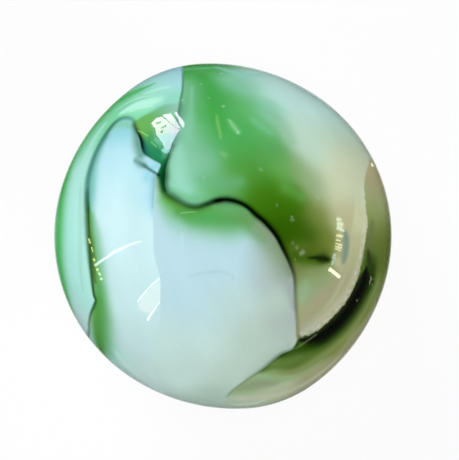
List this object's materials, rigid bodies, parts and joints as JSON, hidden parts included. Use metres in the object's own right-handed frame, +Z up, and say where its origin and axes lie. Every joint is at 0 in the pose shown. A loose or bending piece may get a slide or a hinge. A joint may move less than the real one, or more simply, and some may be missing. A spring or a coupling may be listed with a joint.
{
  "type": "glass marble",
  "caption": "Solid glass ball for marble games and runs, rolled true round its middle and slightly longer from end to end.",
  "frame": {"origin": "centre of the ball, midway between its two ends", "axes": "+X along the ball's length, through the two ends where the gob was sheared; +Z up as the ball rests on its middle; +Y across"},
  "size_m": [0.0164, 0.0158, 0.0158],
  "materials": {
    "swirl_glass": "fire-polished gloss on opaque pale-blue milk glass, with ribbons of translucent green that darken to black along their edges"
  },
  "bodies": {
    "root": {"marble": "swirl_glass"}
  },
  "joints": []
}
